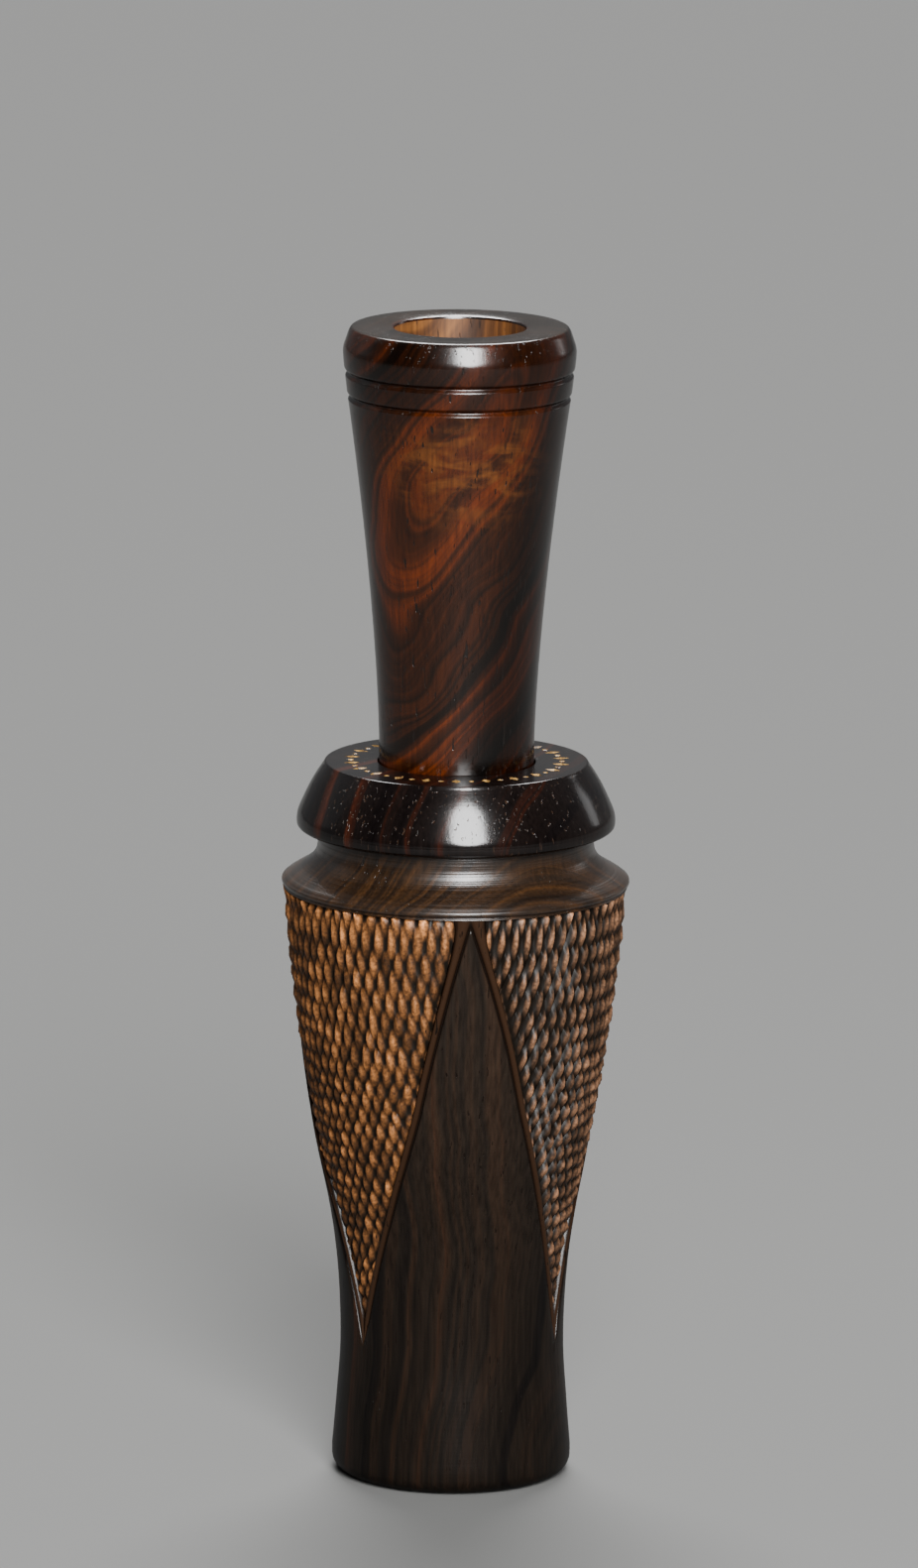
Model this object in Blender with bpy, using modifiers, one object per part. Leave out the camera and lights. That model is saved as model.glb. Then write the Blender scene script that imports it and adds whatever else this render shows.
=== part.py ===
"""A turned wooden duck call with a hand-checkered barrel, standing on its mouthpiece.

The barrel, its band, the insert that pulls out of the barrel, the O-rings that seal the
insert, the tone board in the insert, and the reed with its cork wedge are separate solids.
Units are metres, +Z is up along the bore, and the origin is the middle of the mouthpiece's
resting face. The reed lies on the -Y side of the tone board.
"""

import math

import bmesh
import bpy
from mathutils import Matrix, Vector

MM = 0.001
GAP = 0.3 * MM
SEGMENTS = 64
THIN_SEGMENTS = 48

# Heights above the mouthpiece's resting face.
CALL_HEIGHT = 135.0 * MM
BAND_TOP = 84.2 * MM
BAND_WIDEST = 77.3 * MM
BAND_FOOT = 76.2 * MM
SPIGOT_TOP = 81.2 * MM
SHOULDER_EDGE = 70.1 * MM
BORDER_GROOVE_HEIGHT = 0.8 * MM
BORDER_GROOVE_DEPTH = 0.45 * MM
FOOT_WIDEST = 2.9 * MM

# Radii of the barrel and its band.
SPIGOT_RADIUS = 12.7 * MM
NECK_RADIUS = 16.0 * MM
SHOULDER_RADIUS = 20.15 * MM
FOOT_RADIUS = 13.9 * MM
BAND_TOP_RADIUS = 15.3 * MM
BAND_RADIUS = 18.45 * MM

# Stations down the outside of the turned shapes, each a radius and a height.
BAND_SIDE = (
    (BAND_TOP_RADIUS, BAND_TOP - 0.2 * MM),
    (16.8 * MM, 81.6 * MM),
    (18.2 * MM, 78.6 * MM),
    (BAND_RADIUS, BAND_WIDEST),
    (BAND_RADIUS - 0.35 * MM, BAND_WIDEST - 0.65 * MM),
    (BAND_RADIUS - 1.2 * MM, BAND_FOOT),
)
SHOULDER_STATIONS = (
    (NECK_RADIUS, 73.7 * MM),
    (NECK_RADIUS + 0.35 * MM, 72.7 * MM),
    (17.3 * MM, 71.85 * MM),
    (18.7 * MM, 71.15 * MM),
    (SHOULDER_RADIUS - 0.4 * MM, SHOULDER_EDGE + 0.55 * MM),
)
BODY_STATIONS = (
    (SHOULDER_RADIUS, SHOULDER_EDGE - BORDER_GROOVE_HEIGHT),
    (19.25 * MM, 60.0 * MM),
    (17.9 * MM, 50.0 * MM),
    (16.15 * MM, 40.0 * MM),
    (14.25 * MM, 31.0 * MM),
    (13.3 * MM, 23.5 * MM),
    (13.0 * MM, 15.5 * MM),
    (13.4 * MM, 9.0 * MM),
    (FOOT_RADIUS, FOOT_WIDEST),
)
FOOT_ROUND = 1.9 * MM
MOUTH_ROUND = 1.2 * MM

# The bore that runs down the call: a 3/4 inch socket and a 5/8 inch air passage.
SOCKET_RADIUS = 9.52 * MM
SOCKET_FLOOR = 55.7 * MM
MOUTH_BORE_RADIUS = 7.94 * MM

# The insert.
INSERT_FOOT = SOCKET_FLOOR + GAP
TENON_RADIUS = 8.97 * MM
FLARE_START = 86.0 * MM
FLARE_END = 126.4 * MM
FLARE_RADIUS = 12.78 * MM
FLARE_POWER = 1.5
BELL_RADIUS = 13.52 * MM
BELL_WIDEST = 132.4 * MM
BELL_GROOVES = ((13.2 * MM, 129.8 * MM), (12.88 * MM, 127.0 * MM))
BELL_GROOVE_DEPTH = 0.4 * MM
BELL_GROOVE_HEIGHT = 0.8 * MM
EXHAUST_MOUTH_RADIUS = 7.56 * MM
EXHAUST_RADIUS = 6.2 * MM
EXHAUST_TAPER_START = 98.0 * MM
BOARD_SOCKET_TOP = 70.0 * MM
BOARD_SOCKET_RADIUS = 7.0 * MM

# The O-rings and the grooves that hold them.
RING_HEIGHTS = (79.4 * MM, 74.4 * MM)
RING_RADIUS = 8.62 * MM
RING_THICKNESS = 1.3 * MM
RING_GROOVE_RADIUS = 7.75 * MM
RING_GROOVE_WIDTH = 1.9 * MM

# The tone board, with its flat reed side towards -Y.
BOARD_TOP = BOARD_SOCKET_TOP - GAP
BOARD_RADIUS = BOARD_SOCKET_RADIUS - 0.25 * MM
BOARD_STEP = 61.7 * MM
BOARD_SEAT_END = 50.0 * MM
BOARD_TIP = 22.0 * MM
BOARD_SEAT_Y = -0.8 * MM
BOARD_TIP_DROP = 1.4 * MM
BOARD_TIP_LENGTH = 5.0 * MM
AIR_BORE_RADIUS = 4.4 * MM
AIR_CHANNEL_WIDTH = 4.4 * MM
AIR_CHANNEL_END = 29.0 * MM
AIR_CHANNEL_FLOOR_Y = 2.8 * MM

# The reed and the cork wedge that holds it.
REED_TOP = BOARD_STEP - GAP
REED_TIP = BOARD_TIP + 0.6 * MM
REED_WIDTH = 11.0 * MM
REED_THICKNESS = 0.36 * MM
REED_CLEARANCE = 0.25 * MM
REED_Y = BOARD_SEAT_Y - REED_CLEARANCE - REED_THICKNESS / 2
WEDGE_RADIUS = BOARD_SOCKET_RADIUS - GAP
WEDGE_FOOT = 49.4 * MM
WEDGE_SLOPE_START = 53.4 * MM
WEDGE_SLOPE_END_Y = -4.4 * MM
WEDGE_FLAT_Y = REED_Y - REED_THICKNESS / 2 - GAP


def clear_scene():
    for old in list(bpy.data.objects):
        bpy.data.objects.remove(old, do_unlink=True)


def new_collection(name):
    collection = bpy.data.collections.new(name)
    bpy.context.scene.collection.children.link(collection)
    return collection


def new_material(name, colour, roughness, metallic=0.0):
    material = bpy.data.materials.new(name)
    material.use_nodes = True
    shader = material.node_tree.nodes["Principled BSDF"]
    shader.inputs["Base Color"].default_value = (*colour, 1.0)
    shader.inputs["Roughness"].default_value = roughness
    shader.inputs["Metallic"].default_value = metallic
    return material


def new_object(name, mesh, collection, material=None):
    piece = bpy.data.objects.new(name, mesh)
    collection.objects.link(piece)
    if material:
        mesh.materials.append(material)
    return piece


def arc(centre, radius, start_deg, end_deg, steps):
    """Points on a circle in the (radius, height) plane, both ends included."""
    sweep = [math.radians(start_deg + (end_deg - start_deg) * i / steps) for i in range(steps + 1)]
    return [(centre[0] + radius * math.cos(a), centre[1] + radius * math.sin(a)) for a in sweep]


def smooth_curve(points, steps):
    """A Catmull-Rom curve through the points, with steps spans between each two."""
    ends = [points[0], *points, points[-1]]
    curve = []
    for i in range(1, len(points)):
        before, start, end, after = (Vector(p) for p in ends[i - 1 : i + 3])
        for step in range(steps):
            t = step / steps
            curve.append(
                0.5
                * (
                    2 * start
                    + (end - before) * t
                    + (2 * before - 5 * start + 4 * end - after) * t**2
                    + (3 * start - before - 3 * end + after) * t**3
                )
            )
    curve.append(Vector(points[-1]))
    return [tuple(point) for point in curve]


def groove(top, bottom, depth):
    """A V cut between two points of a turned outline."""
    middle = ((top[0] + bottom[0]) / 2 - depth, (top[1] + bottom[1]) / 2)
    return [top, middle, bottom]


def turned(name, outline, collection, material, segments=SEGMENTS):
    """A solid of revolution from a closed (radius, height) outline, outer side running down."""
    mesh = bpy.data.meshes.new(name)
    points = [(radius, 0.0, height) for radius, height in outline]
    edges = [(i, (i + 1) % len(points)) for i in range(len(points))]
    mesh.from_pydata(points, edges, [])
    piece = new_object(name, mesh, collection, material)
    screw = piece.modifiers.new("turn", "SCREW")
    screw.axis = "Z"
    screw.steps = segments
    screw.render_steps = segments
    screw.use_merge_vertices = True
    screw.merge_threshold = 0.00001
    screw.use_smooth_shade = True
    return piece


def prism(name, outline, axis, thickness, offset, collection, material=None):
    """A flat outline, given as points in space, thickened equally both ways along an axis."""
    mesh = bpy.data.meshes.new(name)
    shift = Vector(axis) * offset
    sheet = bmesh.new()
    sheet.faces.new([sheet.verts.new(Vector(point) + shift) for point in outline])
    sheet.normal_update()
    sheet.to_mesh(mesh)
    sheet.free()
    piece = new_object(name, mesh, collection, material)
    solidify = piece.modifiers.new("thickness", "SOLIDIFY")
    solidify.thickness = thickness
    solidify.offset = 0.0
    return piece


def rod(name, radius, bottom, top, collection, material=None, segments=THIN_SEGMENTS):
    """An upright cylinder."""
    mesh = bpy.data.meshes.new(name)
    solid = bmesh.new()
    bmesh.ops.create_cone(
        solid,
        cap_ends=True,
        segments=segments,
        radius1=radius,
        radius2=radius,
        depth=top - bottom,
        matrix=Matrix.Translation((0.0, 0.0, (top + bottom) / 2)),
    )
    solid.to_mesh(mesh)
    solid.free()
    return new_object(name, mesh, collection, material)


def combine(piece, other, operation):
    """Cuts a piece with another, or keeps what they share."""
    other.hide_render = True
    other.display_type = "WIRE"
    boolean = piece.modifiers.new(other.name, "BOOLEAN")
    boolean.operation = operation
    boolean.solver = "EXACT"
    boolean.object = other


def shade(piece, angle_deg=35.0):
    piece.data.shade_smooth()
    piece.data.set_sharp_from_angle(angle=math.radians(angle_deg))


def make_barrel(collection, material):
    """The checkered barrel, from the spigot inside the band to the mouthpiece."""
    bevel = 0.4 * MM
    outline = [
        (SOCKET_RADIUS + bevel, SPIGOT_TOP),
        (SPIGOT_RADIUS - bevel, SPIGOT_TOP),
        (SPIGOT_RADIUS, SPIGOT_TOP - bevel),
        (SPIGOT_RADIUS, BAND_FOOT - GAP),
        (NECK_RADIUS, BAND_FOOT - GAP),
    ]
    outline += smooth_curve(SHOULDER_STATIONS, 2)
    outline.append((SHOULDER_RADIUS - 0.1 * MM, SHOULDER_EDGE + 0.3 * MM))
    border_top = (SHOULDER_RADIUS, SHOULDER_EDGE)
    outline += groove(border_top, BODY_STATIONS[0], BORDER_GROOVE_DEPTH)
    outline += smooth_curve(BODY_STATIONS, 2)[1:]
    outline += arc((FOOT_RADIUS - FOOT_ROUND, FOOT_ROUND), FOOT_ROUND, -15, -90, 4)
    outline += arc((MOUTH_BORE_RADIUS + MOUTH_ROUND, MOUTH_ROUND), MOUTH_ROUND, -90, -180, 3)
    outline += [
        (MOUTH_BORE_RADIUS, SOCKET_FLOOR),
        (SOCKET_RADIUS, SOCKET_FLOOR),
        (SOCKET_RADIUS, SPIGOT_TOP - bevel),
    ]
    return turned("barrel", outline, collection, material)


def make_band(collection, material):
    """The polished band that caps the barrel's spigot and overhangs the lanyard groove."""
    edge = 0.3 * MM
    outline = [
        (SOCKET_RADIUS + edge, BAND_TOP),
        (BAND_TOP_RADIUS - 0.35 * MM, BAND_TOP),
        *BAND_SIDE,
        (SPIGOT_RADIUS + GAP, BAND_FOOT),
        (SPIGOT_RADIUS + GAP, SPIGOT_TOP + GAP),
        (SOCKET_RADIUS, SPIGOT_TOP + GAP),
        (SOCKET_RADIUS, BAND_TOP - edge),
    ]
    return turned("barrel_band", outline, collection, material)


def flare_radius(height):
    """The insert's outer radius between its neck and its bell."""
    share = (height - FLARE_START) / (FLARE_END - FLARE_START)
    return TENON_RADIUS + (FLARE_RADIUS - TENON_RADIUS) * share**FLARE_POWER


def ring_groove(height):
    half = RING_GROOVE_WIDTH / 2
    return [
        (TENON_RADIUS, height + half),
        (RING_GROOVE_RADIUS, height + half),
        (RING_GROOVE_RADIUS, height - half),
        (TENON_RADIUS, height - half),
    ]


def make_insert(collection, material):
    """The insert: bell and exhaust bore above, tenon and tone board socket below."""
    rim = 0.35 * MM
    half = BELL_GROOVE_HEIGHT / 2
    flare_steps = 12
    outline = [
        (EXHAUST_MOUTH_RADIUS + rim, CALL_HEIGHT),
        (BELL_RADIUS - 0.95 * MM, CALL_HEIGHT),
        (BELL_RADIUS - 0.35 * MM, CALL_HEIGHT - 0.75 * MM),
        (BELL_RADIUS, BELL_WIDEST),
    ]
    for radius, height in BELL_GROOVES:
        outline += groove((radius, height + half), (radius, height - half), BELL_GROOVE_DEPTH)
    for i in range(flare_steps + 1):
        height = FLARE_END + (FLARE_START - FLARE_END) * i / flare_steps
        outline.append((flare_radius(height), height))
    for height in RING_HEIGHTS:
        outline += ring_groove(height)
    outline += [
        (TENON_RADIUS, INSERT_FOOT + 0.5 * MM),
        (TENON_RADIUS - 0.4 * MM, INSERT_FOOT),
        (BOARD_SOCKET_RADIUS, INSERT_FOOT),
        (BOARD_SOCKET_RADIUS, BOARD_SOCKET_TOP),
        (EXHAUST_RADIUS, BOARD_SOCKET_TOP),
        (EXHAUST_RADIUS, EXHAUST_TAPER_START),
        ((EXHAUST_RADIUS + EXHAUST_MOUTH_RADIUS) / 2 - 0.1 * MM, (EXHAUST_TAPER_START + CALL_HEIGHT) / 2),
        (EXHAUST_MOUTH_RADIUS, CALL_HEIGHT - rim),
    ]
    return turned("insert", outline, collection, material)


def make_ring(name, height, collection, material):
    """One O-ring in its groove on the tenon."""
    section = arc((RING_RADIUS, height), RING_THICKNESS / 2, 90, -240, 11)
    return turned(name, section, collection, material, segments=THIN_SEGMENTS)


def board_face(steps=6):
    """The reed side of the tone board seen along X: flat at the seat, falling away to the tip."""
    curved = BOARD_SEAT_END - BOARD_TIP
    points = []
    for i in range(steps + 1):
        share = i / steps
        y = BOARD_SEAT_Y + BOARD_TIP_DROP * share**2
        points.append((0.0, y, BOARD_SEAT_END - curved * share))
    return points


def rounded_tip(half_width, top, tip, length, steps=6):
    """A strip seen along Y, as wide as it is told above a tip of half an ellipse."""
    points = [(half_width, 0.0, top), (-half_width, 0.0, top)]
    for i in range(steps + 1):
        angle = math.pi + math.pi * i / steps
        points.append((half_width * math.cos(angle), 0.0, tip + length + length * math.sin(angle)))
    return points


def make_tone_board(collection, cutters, material):
    """The tone board: a bored round shank, then a half-round board with its air channel."""
    beyond = 10.0 * MM
    board = rod("tone_board", BOARD_RADIUS, BOARD_TIP, BOARD_TOP, collection, material)
    face = [(0.0, -beyond, BOARD_STEP), (0.0, BOARD_SEAT_Y, BOARD_STEP), *board_face()]
    past_tip = BOARD_TIP - beyond
    face += [(0.0, BOARD_SEAT_Y + BOARD_TIP_DROP, past_tip), (0.0, -beyond, past_tip)]
    combine(board, prism("face_cutter", face, (1, 0, 0), 2 * beyond, 0.0, cutters), "DIFFERENCE")
    plan = rounded_tip(BOARD_RADIUS + GAP, BOARD_TOP + beyond, BOARD_TIP, BOARD_TIP_LENGTH)
    combine(board, prism("plan_keeper", plan, (0, 1, 0), 2 * beyond, 0.0, cutters), "INTERSECT")
    half_channel = AIR_CHANNEL_WIDTH / 2
    channel = rounded_tip(half_channel, BOARD_STEP + MM, AIR_CHANNEL_END, half_channel)
    channel_middle = AIR_CHANNEL_FLOOR_Y - beyond / 2
    cutter = prism("channel_cutter", channel, (0, 1, 0), beyond, channel_middle, cutters)
    combine(board, cutter, "DIFFERENCE")
    bore = rod("air_bore_cutter", AIR_BORE_RADIUS, BOARD_STEP - MM, BOARD_TOP + MM, cutters, segments=24)
    combine(board, bore, "DIFFERENCE")
    shade(board)
    return board


def make_reed(collection, material):
    """The reed, a flat strip whose origin is at the end that the wedge holds."""
    length = REED_TOP - REED_TIP
    outline = rounded_tip(REED_WIDTH / 2, 0.0, -length, 3.6 * MM)
    reed = prism("reed", outline, (0, 1, 0), REED_THICKNESS, 0.0, collection, material)
    reed.location = (0.0, REED_Y, REED_TOP)
    return reed


def make_wedge(collection, cutters, material):
    """The cork wedge that presses the reed on the tone board, rounded to fit its socket."""
    outer_y = -WEDGE_RADIUS - MM
    side = [
        (0.0, WEDGE_FLAT_Y, REED_TOP),
        (0.0, outer_y, REED_TOP),
        (0.0, outer_y, WEDGE_SLOPE_START),
        (0.0, WEDGE_SLOPE_END_Y, WEDGE_FOOT),
        (0.0, WEDGE_FLAT_Y, WEDGE_FOOT),
    ]
    wedge = prism("wedge_cork", side, (1, 0, 0), 4 * WEDGE_RADIUS, 0.0, collection, material)
    keeper = rod("wedge_keeper", WEDGE_RADIUS, WEDGE_FOOT - MM, REED_TOP + MM, cutters)
    combine(wedge, keeper, "INTERSECT")
    shade(wedge)
    return wedge


def main():
    clear_scene()
    call = new_collection("duck_call")
    cutters = new_collection("cutters")
    make_barrel(call, new_material("oiled cocobolo", (0.035, 0.016, 0.009), 0.42))
    make_band(call, new_material("polished dark cocobolo", (0.012, 0.005, 0.003), 0.18))
    make_insert(call, new_material("polished figured cocobolo", (0.11, 0.035, 0.012), 0.2))
    rubber = new_material("nitrile rubber", (0.012, 0.012, 0.012), 0.6)
    for name, height in zip(("o_ring_upper", "o_ring_lower"), RING_HEIGHTS):
        make_ring(name, height, call, rubber)
    make_tone_board(call, cutters, new_material("moulded polycarbonate", (0.02, 0.02, 0.022), 0.3))
    make_reed(call, new_material("polyester film", (0.75, 0.74, 0.68), 0.35))
    make_wedge(call, cutters, new_material("cork", (0.42, 0.25, 0.12), 0.8))


main()
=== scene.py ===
"""The looks of a turned, hand-checkered wooden duck call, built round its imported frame.

The barrel, its band and the insert are turned again in finer detail, with the checkering cut
tooth by tooth, and dressed in rosewood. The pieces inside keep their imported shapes. Sizes in
the classes are millimetres, and every finished piece sits at the origin in metres.
"""

import logging
import math
from collections.abc import Callable, Sequence
from dataclasses import dataclass, field
from enum import Enum

import bpy
import numpy as np
from mathutils import Matrix, Vector, noise


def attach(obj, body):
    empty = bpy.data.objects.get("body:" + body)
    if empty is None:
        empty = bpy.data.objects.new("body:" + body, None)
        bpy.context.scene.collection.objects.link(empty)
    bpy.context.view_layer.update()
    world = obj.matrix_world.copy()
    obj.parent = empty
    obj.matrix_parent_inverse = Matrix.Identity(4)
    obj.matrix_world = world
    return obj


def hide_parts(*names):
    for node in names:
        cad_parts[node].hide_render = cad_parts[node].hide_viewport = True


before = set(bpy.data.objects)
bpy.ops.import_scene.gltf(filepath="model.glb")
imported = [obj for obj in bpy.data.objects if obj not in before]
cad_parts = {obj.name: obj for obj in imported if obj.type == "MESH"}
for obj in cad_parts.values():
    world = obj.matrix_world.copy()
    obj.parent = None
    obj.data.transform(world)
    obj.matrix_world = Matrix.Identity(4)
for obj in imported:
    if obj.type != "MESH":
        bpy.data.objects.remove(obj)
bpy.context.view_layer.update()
MM = 0.001
LOG = logging.getLogger("duck_call")

Outline = list[tuple[float, float]]
Material = bpy.types.Material
Piece = bpy.types.Object


# ---------------------------------------------------------------- outlines and lathe work


def arc(centre: tuple[float, float], radius: float, start: float, end: float, steps: int) -> Outline:
    """Points on a circle in the plane of radius and height.

    Args:
        centre: The circle's middle.
        radius: Its radius.
        start: The first point's angle in degrees.
        end: The last point's angle in degrees.
        steps: How many spans join them.

    Returns:
        The points, both ends included.
    """
    angles = np.radians(np.linspace(start, end, steps + 1))
    return [(centre[0] + radius * math.cos(a), centre[1] + radius * math.sin(a)) for a in angles]


def smooth_curve(points: Outline, steps: int) -> Outline:
    """A curve that passes through every point of a coarse outline.

    Args:
        points: The stations, in order.
        steps: How many spans join each two of them.

    Returns:
        The curve's points, both ends included.
    """
    ends = [Vector(p) for p in (points[0], *points, points[-1])]
    curve: Outline = []
    for before, start, end, after in zip(ends, ends[1:], ends[2:], ends[3:]):
        for t in np.arange(steps) / steps:
            pull = 2 * before - 5 * start + 4 * end - after
            swing = 3 * start - before - 3 * end + after
            point = 0.5 * (2 * start + (end - before) * t + pull * t**2 + swing * t**3)
            curve.append(tuple(point))
    curve.append(points[-1])
    return curve


def soften(corners: Sequence[tuple[float, float, float]], steps: int = 4) -> Outline:
    """Rounds the corners of an open run of an outline.

    Args:
        corners: Radius, height and rounding of each corner; no rounding leaves it sharp.
        steps: How many spans make one rounding.

    Returns:
        The outline with its corners rounded.
    """
    run: Outline = []
    for i, (radius, height, rounding) in enumerate(corners):
        corner = Vector((radius, height))
        if not rounding or i in (0, len(corners) - 1):
            run.append((radius, height))
            continue
        to_last = Vector(corners[i - 1][:2]) - corner
        to_next = Vector(corners[i + 1][:2]) - corner
        first = corner + to_last.normalized() * min(rounding, 0.45 * to_last.length)
        last = corner + to_next.normalized() * min(rounding, 0.45 * to_next.length)
        for t in np.linspace(0.0, 1.0, steps + 1):
            run.append(tuple((1 - t) ** 2 * first + 2 * t * (1 - t) * corner + t**2 * last))
    return run


def deselect_all() -> None:
    """Leaves no object selected, so that the next operator acts on its own piece alone."""
    bpy.ops.object.select_all(action="DESELECT")


def pick(piece: Piece) -> None:
    """Makes one piece the only selected and the active one."""
    deselect_all()
    piece.select_set(True)
    bpy.context.view_layer.objects.active = piece


def turn(name: str, outline: Outline, segments: int = 240) -> Piece:
    """Turns a closed outline into a solid, as on a lathe.

    Args:
        name: The new piece's name.
        outline: Radius and height of each point in millimetres.
        segments: How many facets go round.

    Returns:
        The turned piece, with its faces pointing outwards.
    """
    deselect_all()
    start = outline[0]
    bpy.ops.mesh.primitive_plane_add(size=MM, location=(start[0] * MM, 0.0, start[1] * MM))
    piece = bpy.context.object
    piece.name = piece.data.name = name
    bpy.ops.object.transform_apply(location=True, rotation=True, scale=True)
    bpy.ops.object.mode_set(mode="EDIT")
    bpy.ops.mesh.select_all(action="SELECT")
    bpy.ops.mesh.merge(type="CENTER")
    for (r0, z0), (r1, z1) in zip(outline, outline[1:] + [start]):
        step = ((r1 - r0) * MM, 0.0, (z1 - z0) * MM)
        bpy.ops.mesh.extrude_vertices_move(TRANSFORM_OT_translate={"value": step})
    bpy.ops.mesh.select_all(action="SELECT")
    bpy.ops.mesh.remove_doubles(threshold=0.002 * MM)
    bpy.ops.mesh.spin(steps=segments, angle=math.tau, center=(0, 0, 0), axis=(0, 0, 1))
    bpy.ops.mesh.select_all(action="SELECT")
    bpy.ops.mesh.remove_doubles(threshold=0.002 * MM)
    bpy.ops.mesh.normals_make_consistent(inside=False)
    bpy.ops.object.mode_set(mode="OBJECT")
    return piece


def smooth(piece: Piece, angle: float = 32.0) -> None:
    """Shades a piece smooth except across edges sharper than the angle, in degrees."""
    pick(piece)
    bpy.ops.object.shade_smooth_by_angle(angle=math.radians(angle))


def dress(piece: Piece, material: Material, test: Callable[[float, float], bool] | None = None) -> None:
    """Gives a material to a piece or to the faces of it that pass a test.

    Args:
        piece: The piece to dress.
        material: Its finish.
        test: Takes a face's radius and height in millimetres; without it all faces are dressed.
    """
    index = len(piece.data.materials)
    piece.data.materials.append(material)
    for face in piece.data.polygons:
        x, y, z = face.center / MM
        if test is None or test(math.hypot(x, y), z):
            face.material_index = index


def join(pieces: Sequence[Piece], name: str) -> Piece:
    """Joins several pieces into the first and names the result."""
    pick(pieces[0])
    for piece in pieces:
        piece.select_set(True)
    bpy.ops.object.join()
    pieces[0].name = pieces[0].data.name = name
    return pieces[0]


def copy_turned(piece: Piece, degrees: float) -> Piece:
    """A copy of a piece with its own mesh, turned about the bore's axis."""
    twin = piece.copy()
    twin.data = piece.data.copy()
    twin.data.transform(Matrix.Rotation(math.radians(degrees), 4, "Z"))
    bpy.context.collection.objects.link(twin)
    return twin


def points_of(piece: Piece) -> np.ndarray:
    """The places of a piece's vertices, one row each."""
    flat = np.empty(len(piece.data.vertices) * 3)
    piece.data.vertices.foreach_get("co", flat)
    return flat.reshape(-1, 3)


def place_points(piece: Piece, points: np.ndarray) -> None:
    """Moves a piece's vertices to new places, one row each."""
    piece.data.vertices.foreach_set("co", points.ravel())
    piece.data.update()


def wobble(a: np.ndarray, b: np.ndarray, length: float, seed: float) -> np.ndarray:
    """The small wander of hand work over a surface, from -1 to 1.

    Args:
        a: One surface coordinate of each point, in millimetres.
        b: The other.
        length: How far apart the wander's swings are.
        seed: A different number gives a different wander.

    Returns:
        One value for each point.
    """
    return np.array([noise.noise((x / length, y / length, seed)) for x, y in zip(a, b)])


def mark(piece: Piece, name: str, values: np.ndarray) -> None:
    """Stores one number for each vertex, which the finish reads by its name."""
    attribute = piece.data.attributes.new(name, "FLOAT", "POINT")
    attribute.data.foreach_set("value", values.astype(np.float32))


# ---------------------------------------------------------------- finishes


def hex_colour(code: str) -> tuple[float, float, float, float]:
    """Turns an sRGB hex colour into linear light, with full opacity."""
    parts = [int(code[i : i + 2], 16) / 255 for i in (1, 3, 5)]
    linear = [c / 12.92 if c <= 0.04045 else ((c + 0.055) / 1.055) ** 2.4 for c in parts]
    return (*linear, 1.0)


def add_node(
    tree: bpy.types.NodeTree,
    kind: str,
    settings: dict[str, object] | None = None,
    sockets: dict[str | int, object] | None = None,
) -> bpy.types.Node:
    """Adds one node with its settings and links.

    Args:
        tree: The material's nodes.
        kind: The node's type, without its ShaderNode prefix.
        settings: The node's own properties.
        sockets: Each input's value, or the output that feeds it.

    Returns:
        The new node.
    """
    made = tree.nodes.new("ShaderNode" + kind)
    for key, value in (settings or {}).items():
        setattr(made, key, value)
    for key, value in (sockets or {}).items():
        if isinstance(value, bpy.types.NodeSocket):
            tree.links.new(value, made.inputs[key])
        else:
            made.inputs[key].default_value = value
    return made


def add_ramp(
    tree: bpy.types.NodeTree, factor: bpy.types.NodeSocket, stops: Sequence[tuple[float, str]]
) -> bpy.types.NodeSocket:
    """Adds a colour ramp.

    Args:
        tree: The material's nodes.
        factor: What drives the ramp.
        stops: Position and hex colour of each stop, in order.

    Returns:
        The ramp's colour output.
    """
    made = add_node(tree, "ValToRGB", sockets={"Fac": factor})
    while len(made.color_ramp.elements) < len(stops):
        made.color_ramp.elements.new(1.0)
    for element, (position, code) in zip(made.color_ramp.elements, stops):
        element.position = position
        element.color = hex_colour(code)
    return made.outputs["Color"]


def new_finish(name: str) -> tuple[Material, bpy.types.NodeTree, bpy.types.Node]:
    """Starts a material and hands over its nodes and its shader."""
    made = bpy.data.materials.new(name)
    made.use_nodes = True
    return made, made.node_tree, made.node_tree.nodes["Principled BSDF"]


class WoodSurface(Enum):
    """How a wood surface was left: roughness, specular level, coat, coat roughness, pore depth in mm."""

    POLISHED = (0.4, 0.0, 0.6, 0.15, 0.03)
    WAXED = (0.4, 0.0, 0.75, 0.21, 0.03)
    HAND_RUBBED = (0.45, 0.0, 0.24, 0.24, 0.03)
    BUFFED = (0.4, 0.0, 1.0, 0.29, 0.03)
    END_GRAIN = (0.4, 0.0, 0.7, 0.18, 0.02)
    BORED = (0.62, 0.2, 0.0, 0.3, 0.05)
    CHECKERED = (0.5, 0.05, 0.2, 0.42, 0.03)


@dataclass(frozen=True)
class GrowthLayers:
    """Where a turned piece sits in its plank: the layers are shells about a middle, in mm."""

    middle: tuple[float, float, float]
    tilt: tuple[float, float, float]
    reach: tuple[float, float, float]
    layers: float = 9.0
    bend: float = 4.0
    bend_length: float = 22.0


@dataclass(frozen=True)
class PlankShade:
    """How the wood darkens along one direction, between two distances in mm."""

    direction: tuple[float, float, float]
    start: float
    end: float
    at_start: float
    at_end: float


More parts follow.
